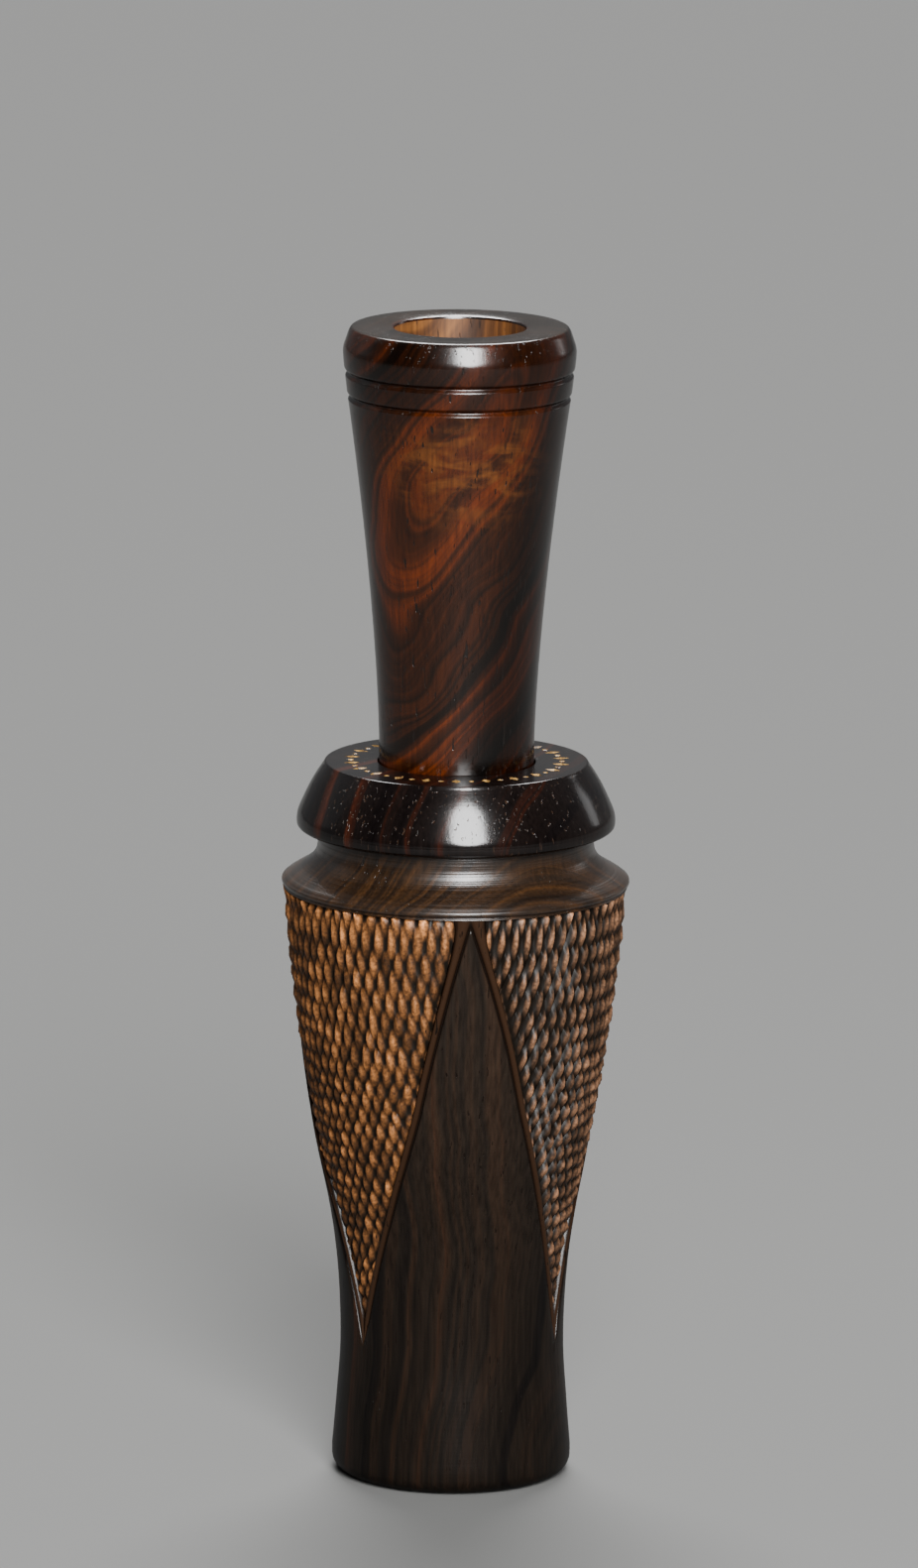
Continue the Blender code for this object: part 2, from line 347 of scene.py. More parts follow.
@dataclass(frozen=True)
class Rosewood:
    """Oily tropical rosewood: dark ink lines over a red-brown ground, with open pores.

    The eye gets sweeping dark layers, fine upright fibre, short black pore dashes and, where it
    is polished, a clear gloss over all of it.
    """

    name: str
    surface: WoodSurface
    layers: GrowthLayers
    stops: tuple[tuple[float, str], ...]
    pore: str = "#0c0705"
    pore_share: float = 0.5
    fibre_contrast: float = 0.35
    lathe_rings: float = 0.0
    curl: tuple[tuple[float, float, float], float, str] | None = None
    shades: tuple["PlankShade", ...] = ()
    bead_colour: str | None = None
    cut_colours: tuple[str, str, str] | None = None

    def material(self) -> Material:
        """Builds the finish.

        Returns:
            The new material.
        """
        made, tree, shader = new_finish(self.name)
        roughness, specular, coat, coat_roughness, pore_depth = self.surface.value
        place = add_node(tree, "TexCoord").outputs["Object"]
        at_mm = add_node(tree, "Mapping", sockets={"Vector": place, "Scale": (1e3, 1e3, 1e3)})
        point = at_mm.outputs["Vector"]
        colour = self.ground(tree, point)
        if self.curl:
            colour = self.curled(tree, point, colour)
        fibre = self.stretched_noise(tree, point, (2.6, 2.6, 0.1), 3.0)
        fibre_shade = add_node(
            tree,
            "MapRange",
            sockets={0: fibre, 1: 0.3, 2: 0.7, 3: 1.0 - self.fibre_contrast, 4: 1.0 + self.fibre_contrast},
        ).outputs[0]
        colour = self.tinted(tree, colour, fibre_shade)
        for shade in self.shades:
            colour = self.shaded(tree, point, colour, shade)
        if self.bead_colour:
            colour = self.bordered(tree, colour)
        if self.cut_colours:
            colour = self.cut_wood(tree, point, colour)
        pores = self.pores(tree, point)
        inked = add_node(
            tree, "Mix", {"data_type": "RGBA"}, {0: pores, 6: colour, 7: hex_colour(self.pore)}
        ).outputs[2]
        tree.links.new(inked, shader.inputs["Base Color"])
        shader.inputs["Roughness"].default_value = roughness
        shader.inputs["Specular IOR Level"].default_value = specular
        shader.inputs["Coat Weight"].default_value = coat
        shader.inputs["Coat Roughness"].default_value = coat_roughness
        shader.inputs["IOR"].default_value = 1.5
        normal = self.relief(tree, point, fibre, pores, pore_depth)
        tree.links.new(normal, shader.inputs["Normal"])
        tree.links.new(normal, shader.inputs["Coat Normal"])
        return made

    def ground(self, tree: bpy.types.NodeTree, point: bpy.types.NodeSocket) -> bpy.types.NodeSocket:
        """The sweeping growth layers.

        Args:
            tree: The material's nodes.
            point: The place in millimetres.

        Returns:
            The ground colour.
        """
        at = self.layers
        slow = add_node(
            tree,
            "TexNoise",
            sockets={"Vector": point, "Scale": 1 / at.bend_length, "Detail": 2.0, "Roughness": 0.45},
        ).outputs["Color"]
        centred = add_node(tree, "VectorMath", {"operation": "SUBTRACT"}, {0: slow, 1: (0.5, 0.5, 0.5)})
        swung = add_node(
            tree,
            "VectorMath",
            {"operation": "MULTIPLY"},
            {0: centred.outputs[0], 1: (2 * at.bend, 2 * at.bend, 2 * at.bend)},
        )
        bent = add_node(tree, "VectorMath", {"operation": "ADD"}, {0: point, 1: swung.outputs[0]})
        local = add_node(
            tree,
            "Mapping",
            {"vector_type": "TEXTURE"},
            {
                "Vector": bent.outputs[0],
                "Location": at.middle,
                "Rotation": tuple(math.radians(a) for a in at.tilt),
                "Scale": at.reach,
            },
        )
        shell = add_node(tree, "VectorMath", {"operation": "LENGTH"}, {0: local.outputs[0]})
        lines = add_node(
            tree,
            "TexNoise",
            {"noise_dimensions": "1D"},
            {"W": shell.outputs["Value"], "Scale": at.layers, "Detail": 4.0, "Roughness": 0.62},
        ).outputs["Fac"]
        return add_ramp(tree, lines, self.stops)

    def curled(
        self, tree: bpy.types.NodeTree, point: bpy.types.NodeSocket, colour: bpy.types.NodeSocket
    ) -> bpy.types.NodeSocket:
        """A patch of curly figure, where wavy fibres show gold ripples.

        Args:
            tree: The material's nodes.
            point: The place in millimetres.
            colour: The ground colour.

        Returns:
            The ground with the patch in it.
        """
        middle, reach, gold = self.curl
        local = add_node(
            tree,
            "Mapping",
            {"vector_type": "TEXTURE"},
            {"Vector": point, "Location": middle, "Scale": (1.5 * reach, 2 * reach, reach)},
        )
        away = add_node(tree, "VectorMath", {"operation": "LENGTH"}, {0: local.outputs[0]})
        patch = add_node(
            tree, "MapRange", {"interpolation_type": "SMOOTHSTEP"}, {0: away.outputs["Value"], 1: 1.1, 2: 0.2}
        ).outputs[0]
        ripples = add_node(
            tree,
            "TexNoise",
            sockets={
                "Vector": add_node(
                    tree, "Mapping", sockets={"Vector": point, "Scale": (0.2, 0.2, 0.6)}
                ).outputs[0],
                "Scale": 1.0,
                "Detail": 3.0,
                "Roughness": 0.55,
                "Distortion": 0.7,
            },
        ).outputs["Fac"]
        crest = add_node(
            tree, "MapRange", {"interpolation_type": "SMOOTHSTEP"}, {0: ripples, 1: 0.40, 2: 0.72}
        ).outputs[0]
        share = add_node(tree, "Math", {"operation": "MULTIPLY"}, {0: patch, 1: crest}).outputs[0]
        return add_node(
            tree, "Mix", {"data_type": "RGBA"}, {0: share, 6: colour, 7: hex_colour(gold)}
        ).outputs[2]

    def stretched_noise(
        self,
        tree: bpy.types.NodeTree,
        point: bpy.types.NodeSocket,
        scale: tuple[float, float, float],
        detail: float,
    ) -> bpy.types.NodeSocket:
        """Noise drawn out along the grain.

        Args:
            tree: The material's nodes.
            point: The place in millimetres.
            scale: Swings to a millimetre along each axis.
            detail: How many finer layers it has.

        Returns:
            The noise, about 0.5.
        """
        drawn = add_node(tree, "Mapping", sockets={"Vector": point, "Scale": scale}).outputs[0]
        return add_node(
            tree, "TexNoise", sockets={"Vector": drawn, "Scale": 1.0, "Detail": detail, "Roughness": 0.55}
        ).outputs["Fac"]

    def tinted(
        self, tree: bpy.types.NodeTree, colour: bpy.types.NodeSocket, shade: bpy.types.NodeSocket
    ) -> bpy.types.NodeSocket:
        """The colour made lighter or darker by a factor."""
        scaled = add_node(tree, "VectorMath", {"operation": "SCALE"}, {0: colour, "Scale": shade})
        return scaled.outputs[0]

    def pores(self, tree: bpy.types.NodeTree, point: bpy.types.NodeSocket) -> bpy.types.NodeSocket:
        """Open pores, 0.2 mm across and 1 to 3 mm long, wider than real so that they show.

        Args:
            tree: The material's nodes.
            point: The place in millimetres.

        Returns:
            1 in a pore and 0 beside it.
        """
        speck = self.stretched_noise(tree, point, (3.4, 3.4, 0.42), 1.0)
        cluster = self.stretched_noise(tree, point, (0.16, 0.16, 0.07), 1.0)
        # Where the noise passes this level there is a pore, so a lower level gives more of them.
        low = 0.83 - 0.16 * self.pore_share
        lowered = add_node(
            tree, "Math", {"operation": "MULTIPLY_ADD"}, {0: cluster, 1: 0.28, 2: speck}
        ).outputs[0]
        return add_node(
            tree,
            "MapRange",
            {"interpolation_type": "SMOOTHSTEP"},
            {0: lowered, 1: low + 0.1, 2: low + 0.15},
        ).outputs[0]

    def shaded(
        self,
        tree: bpy.types.NodeTree,
        point: bpy.types.NodeSocket,
        colour: bpy.types.NodeSocket,
        shade: "PlankShade",
    ) -> bpy.types.NodeSocket:
        """The colour, darker towards one end of a direction.

        Args:
            tree: The material's nodes.
            point: The place in millimetres.
            colour: The wood's colour.
            shade: Where it darkens and by how much.

        Returns:
            The shaded colour.
        """
        along = add_node(tree, "VectorMath", {"operation": "DOT_PRODUCT"}, {0: point, 1: shade.direction})
        strength = add_node(
            tree,
            "MapRange",
            {"interpolation_type": "SMOOTHSTEP"},
            {0: along.outputs["Value"], 1: shade.start, 2: shade.end, 3: shade.at_start, 4: shade.at_end},
        )
        return self.tinted(tree, colour, strength.outputs[0])

    def bordered(self, tree: bpy.types.NodeTree, colour: bpy.types.NodeSocket) -> bpy.types.NodeSocket:
        """The skin with its scraped border bead, and the cut line beside it painted dark, partly for oil in
        it and partly as painted shade.

        Args:
            tree: The material's nodes.
            colour: The skin's colour.

        Returns:
            The colour with the border in it.
        """
        on_bead = add_node(tree, "Attribute", {"attribute_name": "bead"}).outputs["Fac"]
        cut_oil_and_shade = add_node(tree, "Attribute", {"attribute_name": "cut_depth"}).outputs["Fac"]
        scraped = add_node(
            tree, "Mix", {"data_type": "RGBA"}, {0: on_bead, 6: colour, 7: hex_colour(self.bead_colour)}
        ).outputs[2]
        # Painted shade: the cut line and the shallow groove inside the bead take the near-black pore colour,
        # partly for oil and partly as painted shade.
        return add_node(
            tree, "Mix", {"data_type": "RGBA"}, {0: cut_oil_and_shade, 6: scraped, 7: hex_colour(self.pore)}
        ).outputs[2]

    def cut_wood(
        self, tree: bpy.types.NodeTree, point: bpy.types.NodeSocket, colour: bpy.types.NodeSocket
    ) -> bpy.types.NodeSocket:
        """Freshly cut teeth, paler than the oiled skin, with dark dust and oil in the grooves and painted
        shade darkening the grooves and the teeth's lower flanks.

        Args:
            tree: The material's nodes.
            point: The place in millimetres.
            colour: The wood's ground colour.

        Returns:
            The colour of the cut wood.
        """
        # The bare wood turns from red-brown to grey-brown across the barrel.
        left, right, groove = self.cut_colours
        across = add_node(tree, "SeparateXYZ", sockets={0: point}).outputs["X"]
        side = add_node(
            tree, "MapRange", {"interpolation_type": "SMOOTHSTEP"}, {0: across, 1: -6.0, 2: 10.0}
        ).outputs[0]
        bare = add_node(
            tree, "Mix", {"data_type": "RGBA"}, {0: side, 6: hex_colour(left), 7: hex_colour(right)}
        ).outputs[2]
        # Oil has soaked into it unevenly, in patches about 3 mm across.
        patchy = add_node(
            tree, "TexNoise", sockets={"Vector": point, "Scale": 0.35, "Detail": 5.0, "Roughness": 0.75}
        ).outputs["Fac"]
        strength = add_node(tree, "MapRange", sockets={0: patchy, 1: 0.3, 2: 0.7, 3: 0.35, 4: 1.6}).outputs[0]
        bare = self.tinted(tree, bare, strength)
        # It is a little paler higher up, and the top row's tips are painted much paler, a painted highlight
        # where they catch the light.
        rise = add_node(tree, "SeparateXYZ", sockets={0: point}).outputs["Z"]
        paler_upwards = add_node(tree, "MapRange", sockets={0: rise, 1: 30.0, 2: 69.0, 3: 0.85, 4: 0.95}).outputs[0]
        bare = self.tinted(tree, bare, paler_upwards)
        # Painted highlight: the top row's tips are more than doubled in brightness.
        crest = add_node(tree, "MapRange", sockets={0: rise, 1: 65.5, 2: 69.0, 3: 1.0, 4: 2.1}).outputs[0]
        bare = self.tinted(tree, bare, crest)
        # Torn fibre speckles each tooth, and each tooth has a tone of its own.
        torn = add_node(
            tree, "TexNoise", sockets={"Vector": point, "Scale": 2.4, "Detail": 3.0, "Roughness": 0.65}
        ).outputs["Fac"]
        speckled = add_node(tree, "MapRange", sockets={0: torn, 1: 0.32, 2: 0.68, 3: 0.4, 4: 1.6}).outputs[0]
        bare = self.tinted(tree, bare, speckled)
        tooth = add_node(tree, "Attribute", {"attribute_name": "tooth"}).outputs["Fac"]
        own = add_node(tree, "MapRange", sockets={0: tooth, 3: 0.55, 4: 1.5}).outputs[0]
        bare = self.tinted(tree, bare, own)
        mixed = add_node(tree, "Mix", {"data_type": "RGBA"}, {0: 0.25, 6: bare, 7: colour}).outputs[2]
        # Painted shade: the grooves and the lower flanks of each tooth are darkened towards the groove
        # colour, partly for dust and oil, partly as painted shade in the recesses.
        depth = add_node(tree, "Attribute", {"attribute_name": "cut_depth"}).outputs["Fac"]
        dirt_and_shade = add_node(
            tree, "MapRange", {"interpolation_type": "SMOOTHSTEP"}, {0: depth, 1: 0.16, 2: 0.78}
        ).outputs[0]
        return add_node(
            tree, "Mix", {"data_type": "RGBA"}, {0: dirt_and_shade, 6: mixed, 7: hex_colour(groove)}
        ).outputs[2]

    def relief(
        self,
        tree: bpy.types.NodeTree,
        point: bpy.types.NodeSocket,
        fibre: bpy.types.NodeSocket,
        pores: bpy.types.NodeSocket,
        pore_depth: float,
    ) -> bpy.types.NodeSocket:
        """The fine relief of fibre, pores and lathe rings.

        Args:
            tree: The material's nodes.
            point: The place in millimetres.
            fibre: The fibre noise.
            pores: 1 in a pore.
            pore_depth: How deep a pore is, in millimetres.

        Returns:
            The bumped normal.
        """
        # Cut fibre stands up by 0.03 mm, and fibre under a finish hardly shows.
        stands = 0.03 if self.cut_colours else 0.006
        raised = add_node(tree, "Math", {"operation": "MULTIPLY"}, {0: fibre, 1: stands}).outputs[0]
        height = add_node(
            tree, "Math", {"operation": "MULTIPLY_ADD"}, {0: pores, 1: -pore_depth, 2: raised}
        ).outputs[0]
        if self.lathe_rings:
            rings = self.stretched_noise(tree, point, (0.02, 0.02, 4.5), 2.0)
            height = add_node(
                tree, "Math", {"operation": "MULTIPLY_ADD"}, {0: rings, 1: self.lathe_rings, 2: height}
            ).outputs[0]
        return add_node(
            tree, "Bump", sockets={"Strength": 1.0, "Distance": MM, "Height": height}
        ).outputs["Normal"]


# Each run of stops goes from the darkest growth lines to the palest ground. The polished insert
# has near-black lines on a red-brown ground.
INSERT_STOPS = (
    (0.28, "#040201"),
    (0.41, "#0c0401"),
    (0.51, "#200b02"),
    (0.62, "#3a1503"),
    (0.80, "#4a2004"),
)
# The barrel's oiled skin is nearly black, with red-brown streaks.
BARREL_STOPS = (
    (0.30, "#0b0807"),
    (0.48, "#15100c"),
    (0.62, "#1d140e"),
    (0.78, "#2b180e"),
)
# The cove and shoulder are warmer, where buffing has taken the oil off.
SHOULDER_STOPS = (
    (0.30, "#100905"),
    (0.46, "#190f07"),
    (0.60, "#231509"),
    (0.78, "#301d0c"),
)
# The band is darkest, with a few red lines.
BAND_STOPS = (
    (0.36, "#060404"),
    (0.56, "#0b0706"),
    (0.66, "#1c0a05"),
    (0.80, "#2c1208"),
)
# The bell's bore is raw wood, paler than any oiled face.
BORE_STOPS = (
    (0.30, "#170a03"),
    (0.45, "#3a210c"),
    (0.60, "#5a3716"),
    (0.75, "#724a22"),
)

INSERT_LAYERS = GrowthLayers(
    middle=(1.0, -14.0, 121.0), tilt=(0.0, 30.0, 0.0), reach=(9.0, 16.0, 36.0), layers=2.3, bend=6.0
)
BARREL_LAYERS = GrowthLayers(
    middle=(-38.0, 30.0, 40.0), tilt=(0.0, 4.0, 0.0), reach=(10.0, 14.0, 130.0), layers=4.0, bend=2.5
)
SHOULDER_LAYERS = GrowthLayers(
    middle=(-10.0, -70.0, 30.0), tilt=(0.0, 34.0, 0.0), reach=(9.0, 30.0, 60.0), layers=13.0, bend=5.0
)


# ---------------------------------------------------------------- the barrel


@dataclass
class BarrelLine:
    """The barrel's outer line from the border groove down to the foot."""

    stations: Outline = field(
        default_factory=lambda: [
            (20.15, 69.3),
            (19.25, 60.0),
            (17.9, 50.0),
            (16.15, 40.0),
            (14.25, 31.0),
            (13.3, 23.5),
            (13.0, 15.5),
            (13.4, 9.0),
            (13.9, 2.9),
        ]
    )

    def __post_init__(self) -> None:
        """Works out the line between its stations."""
        curve = np.array(smooth_curve(self.stations, 8))[::-1]
        self.radii, self.heights = curve[:, 0], curve[:, 1]

    def radius(self, height: np.ndarray) -> np.ndarray:
        """The radius at each height, in millimetres."""
        return np.interp(height, self.heights, self.radii)

    def wrap(self, across: np.ndarray, height: np.ndarray, depth: np.ndarray, facing: float) -> np.ndarray:
        """Lays flat work round the barrel.

        Args:
            across: Distance round the barrel from the work's middle line, in millimetres.
            height: Height above the foot.
            depth: Depth below the outer line.
            facing: Where the middle line stands, in degrees to the right of the front.

        Returns:
            The places in metres.
        """
        radius = self.radius(height)
        turn_by = math.radians(facing) + across / radius
        reach = radius - depth
        return np.column_stack([reach * np.sin(turn_by), -reach * np.cos(turn_by), height]) * MM


@dataclass
class SpearPoint:
    """The plain wood between two checkered panels: an upright spear that widens into the foot."""

    line: BarrelLine
    facing: float = 7.5
    lean: float = -2.5
    apex: float = 69.5
    tip: float = 16.5
    bow: float = 0.4
    wander: float = 0.05
    # Distance in from the spear's edge, and depth below the barrel's line.
    border: tuple[tuple[float, float], ...] = (
        (0.0, 1.04),
        (0.08, 0.6),
        (0.18, 0.26),
        (0.3, 0.1),
        (0.48, 0.05),
        (0.66, 0.07),
        (0.82, 0.14),
        (0.92, 0.26),
        (1.0, 0.38),
        (1.1, 0.38),
        (1.18, 0.2),
        (1.28, 0.03),
        (1.4, 0.0),
    )
    bead_width: float = 0.9
    # The border widens round the apex by this much, over this height.
    apex_spread: float = 1.1
    spread_height: float = 2.6
    # Half the spear's width at its foot, before its third of the barrel limits it.
    foot_width: float = 13.6
    foot_top: float = 2.9
    middle_columns: int = 32
    rows: int = 110

    def inner_width(self, height: np.ndarray) -> np.ndarray:
        """Half the width inside the cut line at each height, measured round the barrel."""
        share = np.clip((self.apex - height) / (self.apex - self.tip), 0.0, 1.0)
        bowed = self.bow * np.sin(np.pi * np.clip(share / 0.45, 0.0, 1.0))
        return np.minimum(self.foot_width * share + bowed, self.line.radius(height) * math.pi / 3)

    def half_width(self, height: np.ndarray) -> np.ndarray:
        """Half the spear's width with its border bead, in millimetres."""
        below = np.maximum(self.apex - height, 0.0)
        spread = self.apex_spread * np.exp(-below / self.spread_height)
        wide = self.inner_width(height) + self.bead_width + spread
        third = self.line.radius(height) * math.pi / 3
        return np.where(height > self.tip, np.minimum(wide, third), third)

    def centre_shift(self, height: np.ndarray) -> np.ndarray:
        """How far the spear's middle line leans sideways at each height, in millimetres."""
        share = np.clip((height - self.tip) / (self.apex - self.tip), 0.0, 1.0)
        return np.radians(self.lean * share**2) * self.line.radius(height)

    def foot_line(self) -> Outline:
        """The rounding from the foot's widest place to the resting face."""
        return arc((12.0, 1.9), 1.9, -5, -90, 9)

    def build(self) -> Piece:
        """Makes one spear with its border bead and its third of the foot.

        Returns:
            The spear at its place on the front.
        """
        edge = [distance for distance, _ in self.border]
        columns = 2 * len(edge) - 2 + self.middle_columns
        foot = self.foot_line()
        rows = self.rows + len(foot)
        deselect_all()
        bpy.ops.mesh.primitive_grid_add(x_subdivisions=columns, y_subdivisions=rows, size=2.0)
        spear = bpy.context.object
        spear.name = spear.data.name = "spear_point"
        flat = points_of(spear)
        column = np.rint((flat[:, 0] + 1) / 2 * columns).astype(int)
        row = np.rint((flat[:, 1] + 1) / 2 * rows).astype(int)
        straight = np.linspace(self.foot_top, self.apex, self.rows + 1)
        heights = np.concatenate([[z for _, z in foot[::-1]], straight])
        height = heights[row]
        from_side = np.minimum(column, columns - column)
        in_border = from_side < len(edge)
        side = np.where(column < columns / 2, -1.0, 1.0)
        half = self.half_width(height)
        bead = np.maximum(half - self.inner_width(height), 0.0) / self.bead_width
        inset = np.interp(from_side, range(len(edge)), edge)
        inset_laid = self.laid_inset(inset, bead)
        plain = np.maximum(half - self.laid_inset(np.full_like(half, edge[-1]), bead), 0.0)
        share = np.clip((from_side - len(edge) + 1) / (self.middle_columns / 2), 0.0, 1.0)
        across = np.where(in_border, np.maximum(half - inset_laid, 0.0), plain * (1 - share))
        reached = np.minimum(inset, self.flat_inset(half - across, bead))
        fade = np.clip((height - self.tip + 0.4) / 0.8, 0.0, 1.0)
        depth = np.interp(reached, edge, [deep for _, deep in self.border]) * fade
        depth = np.where((from_side == 0) & (height > self.tip), self.border[0][1], depth)
        hand = wobble(height * 1.7, side * 40, 9.0, 3.3) * self.wander * fade * np.clip(across, 0.0, 1.0)
        laid = across * side + self.centre_shift(height) + hand
        places = self.line.wrap(laid, height, depth, self.facing)
        place_points(spear, self.round_foot(places, height, foot))
        mark(spear, "cut_depth", np.clip((depth - 0.1) / 0.25, 0.0, 1.0) * fade)
        mark(spear, "bead", np.clip((1.0 - reached) / 0.12, 0.0, 1.0) * fade)
        return spear

    def laid_inset(self, inset: np.ndarray, bead: np.ndarray) -> np.ndarray:
        """Distance in from the edge as laid on the barrel, where the bead widens or narrows."""
        past_bead = np.maximum(inset - self.bead_width, 0.0)
        return np.minimum(inset, self.bead_width) * bead + past_bead * np.minimum(bead, 1.0)

    def flat_inset(self, laid: np.ndarray, bead: np.ndarray) -> np.ndarray:
        """The border's own distance that a laid distance stands for."""
        wide = np.maximum(bead, 1e-6)
        bead_end = self.bead_width * bead
        past = self.bead_width + (laid - bead_end) / np.minimum(wide, 1.0)
        return np.where(laid <= bead_end, laid / wide, past)

    def round_foot(self, places: np.ndarray, height: np.ndarray, foot: Outline) -> np.ndarray:
        """Pulls the lowest rows in to the foot's rounding.

        Args:
            places: The spear's points in metres.
            height: Their heights in millimetres.
            foot: Radius and height down the rounding.

        Returns:
            The points with the foot rounded.
        """
        low = height < self.foot_top
        round_line = np.array(foot)[::-1]
        wanted = np.interp(height, round_line[:, 1], round_line[:, 0]) * MM
        now = np.hypot(places[:, 0], places[:, 1])
        pull = np.where(low, wanted / np.maximum(now, 1e-9), 1.0)
        return places * np.column_stack([pull, pull, np.ones_like(pull)])


@dataclass
class CheckeredPanel:
    """One field of diamond teeth, cut by hand between two spears, about 76 to a turn at the top."""

    line: BarrelLine
    spear: SpearPoint
    name: str
    facing: float
    seed: float
    pitch: float = 1.66
    depth: float = 0.98
    top: float = 69.5
    foot: float = 15.9
    long_row: float = 2.4
    short_row: float = 1.7
    first_row: float = 3.4
    lean: float = 0.06
    cells: int = 46
    spans: int = 4
    tip_place: float = 0.6
    # How much of the teeth's height the floor of each family of grooves keeps.
    shallow: tuple[float, float] = (0.24, 0.0)
    # The rows shorten from long_row to short_row down this stretch.
    short_from: float = 46.0
    short_over: float = 14.0
    # Row that crosses the grid's middle, and row about which the columns lean.
    middle_row: int = 14
    upright_row: int = 8
    groove_ease: float = 0.28
    # How far a tooth wanders, over what lengths, and how much more it does so in height.
    wander: float = 0.26
    wander_lengths: tuple[float, float] = (4.4, 3.2)
    wander_up: float = 1.7
    # Length, seed and depth of the two sizes of unevenness that the cutter leaves.
    chips: tuple[tuple[float, float, float], ...] = ((2.2, 4.0, 0.1), (0.7, 6.0, 0.09))
    # How far a field runs on under its spear, and how far it sinks there.
    tuck: float = 0.75
    sink: float = 0.6

    def row_heights(self, count: int) -> np.ndarray:
        """Heights of the rows of groove crossings, closer together lower down."""
        heights = [self.top + self.long_row, self.top, self.top - self.first_row]
        while len(heights) < count:
            share = min(max((heights[-1] - self.short_from) / self.short_over, 0.0), 1.0)
            ease = share * share * (3 - 2 * share)
            heights.append(heights[-1] - self.short_row - (self.long_row - self.short_row) * ease)
        return np.array(heights)

    def reach(self, height: np.ndarray) -> np.ndarray:
        """Half the panel's width at each height, in millimetres."""
        return self.line.radius(height) * math.pi / 3 - self.spear.half_width(height)

    def build(self) -> Piece:
        """Lays out crossing grooves on a fine grid and wraps the field round the barrel.

        Returns:
            The field of teeth at its place.
        """
        n = self.cells
        deselect_all()
        lines = n * self.spans
        bpy.ops.mesh.primitive_grid_add(x_subdivisions=lines, y_subdivisions=lines, size=n)
        panel = bpy.context.object
        panel.name = panel.data.name = self.name
        grid = np.rint(points_of(panel)[:, :2] * self.spans).astype(int)
        cell = np.floor_divide(grid, self.spans)
        within = np.mod(grid, self.spans) / self.spans
        along = cell + within + self.groove_ease * np.sin(math.tau * within) / math.tau
        column = along[:, 0] - along[:, 1]
        row = self.middle_row - along[:, 0] - along[:, 1]
        rows = self.row_heights(int(row.max()) + 2)
        well_above = self.top + 50.0
        height = np.interp(row, range(len(rows)), rows, left=well_above)
        across = column * self.pitch / 2 + self.lean * (self.upright_row - row)
        sideways, upwards = self.wander_lengths
        across = across + wobble(across, height, sideways, self.seed) * self.wander
        height = height + wobble(across, height, upwards, self.seed + 9) * self.wander * self.wander_up
        shades = np.random.default_rng(int(self.seed * 10)).random((n + 1, n + 1))
        shade = shades[cell[:, 0] + n // 2, cell[:, 1] + n // 2]
        raised = self.tooth_height(within) * (0.82 + 0.18 * shade)
        self.wrap_round(panel, across, height, raised)
        mark(panel, "tooth", shade)
        self.drop_outside(panel, across, height)
        return panel

    def tooth_height(self, within: np.ndarray) -> np.ndarray:
        """How high each point stands in its tooth, in millimetres above the deepest groove.

        Args:
            within: Place in the cell along the two families of grooves, from 0 to 1.

        Returns:
            The heights. The grooves of one family are cut less deep than the other's.
        """
        tip = self.tip_place
        rise = np.minimum(within / tip, (1 - within) / (1 - tip)) ** 0.8
        floor = np.array(self.shallow)
        from_crossing = np.clip(2 * rise.sum(axis=1), 0.0, 1.0)
        return self.depth * (floor + (1 - floor) * rise).min(axis=1) * from_crossing

    def wrap_round(self, panel: Piece, across: np.ndarray, height: np.ndarray, raised: np.ndarray) -> None:
        """Wraps the flat field round the barrel and stores how deep each point lies.

        Args:
            panel: The grid to shape.
            across: Distance of each point from the panel's middle line, in millimetres.
            height: Its height above the foot.
            raised: Its height above the deepest groove.
        """
        over = height > self.top
        level = np.minimum(height, self.top)
        third = self.line.radius(level) * math.pi / 3 - 0.02
        laid = np.clip(across, -third, third)
        uneven = sum(
            wobble(across, level, length, self.seed + seed) * deep for length, seed, deep in self.chips
        )
        past_edge = np.clip((np.abs(across) - self.reach(level) - 0.02) / 0.2, 0.0, 1.0)
        depth = np.maximum(self.depth - raised + uneven * (raised > 0.3), 0.02) + self.sink * past_edge
        depth = np.where(over, self.depth, depth)
        shift = self.spear.centre_shift(level)
        place_points(panel, self.line.wrap(laid + shift, level, depth, self.facing))
        mark(panel, "cut_depth", np.clip(1.0 - raised / self.depth, 0.0, 1.0))

    def drop_outside(self, panel: Piece, across: np.ndarray, height: np.ndarray) -> None:
        """Deletes the points that lie well under a spear or past the field's ends.

        Args:
            panel: The shaped grid.
            across: Distance of each point from the panel's middle line, in millimetres.
            height: Its height above the foot.
        """
        level = np.clip(height, self.foot, self.top)
        outside = np.abs(across) > self.reach(level) + self.tuck
        outside |= (height > self.top + 1.0) | (height < self.foot)
        pick(panel)
        bpy.ops.object.mode_set(mode="EDIT")
        bpy.ops.mesh.select_mode(type="VERT")
        bpy.ops.mesh.select_all(action="DESELECT")
        bpy.ops.object.mode_set(mode="OBJECT")
        panel.data.vertices.foreach_set("select", outside)
        bpy.ops.object.mode_set(mode="EDIT")
        bpy.ops.mesh.delete(type="VERT")
        bpy.ops.mesh.select_all(action="SELECT")
        bpy.ops.mesh.normals_make_consistent(inside=False)
        bpy.ops.object.mode_set(mode="OBJECT")


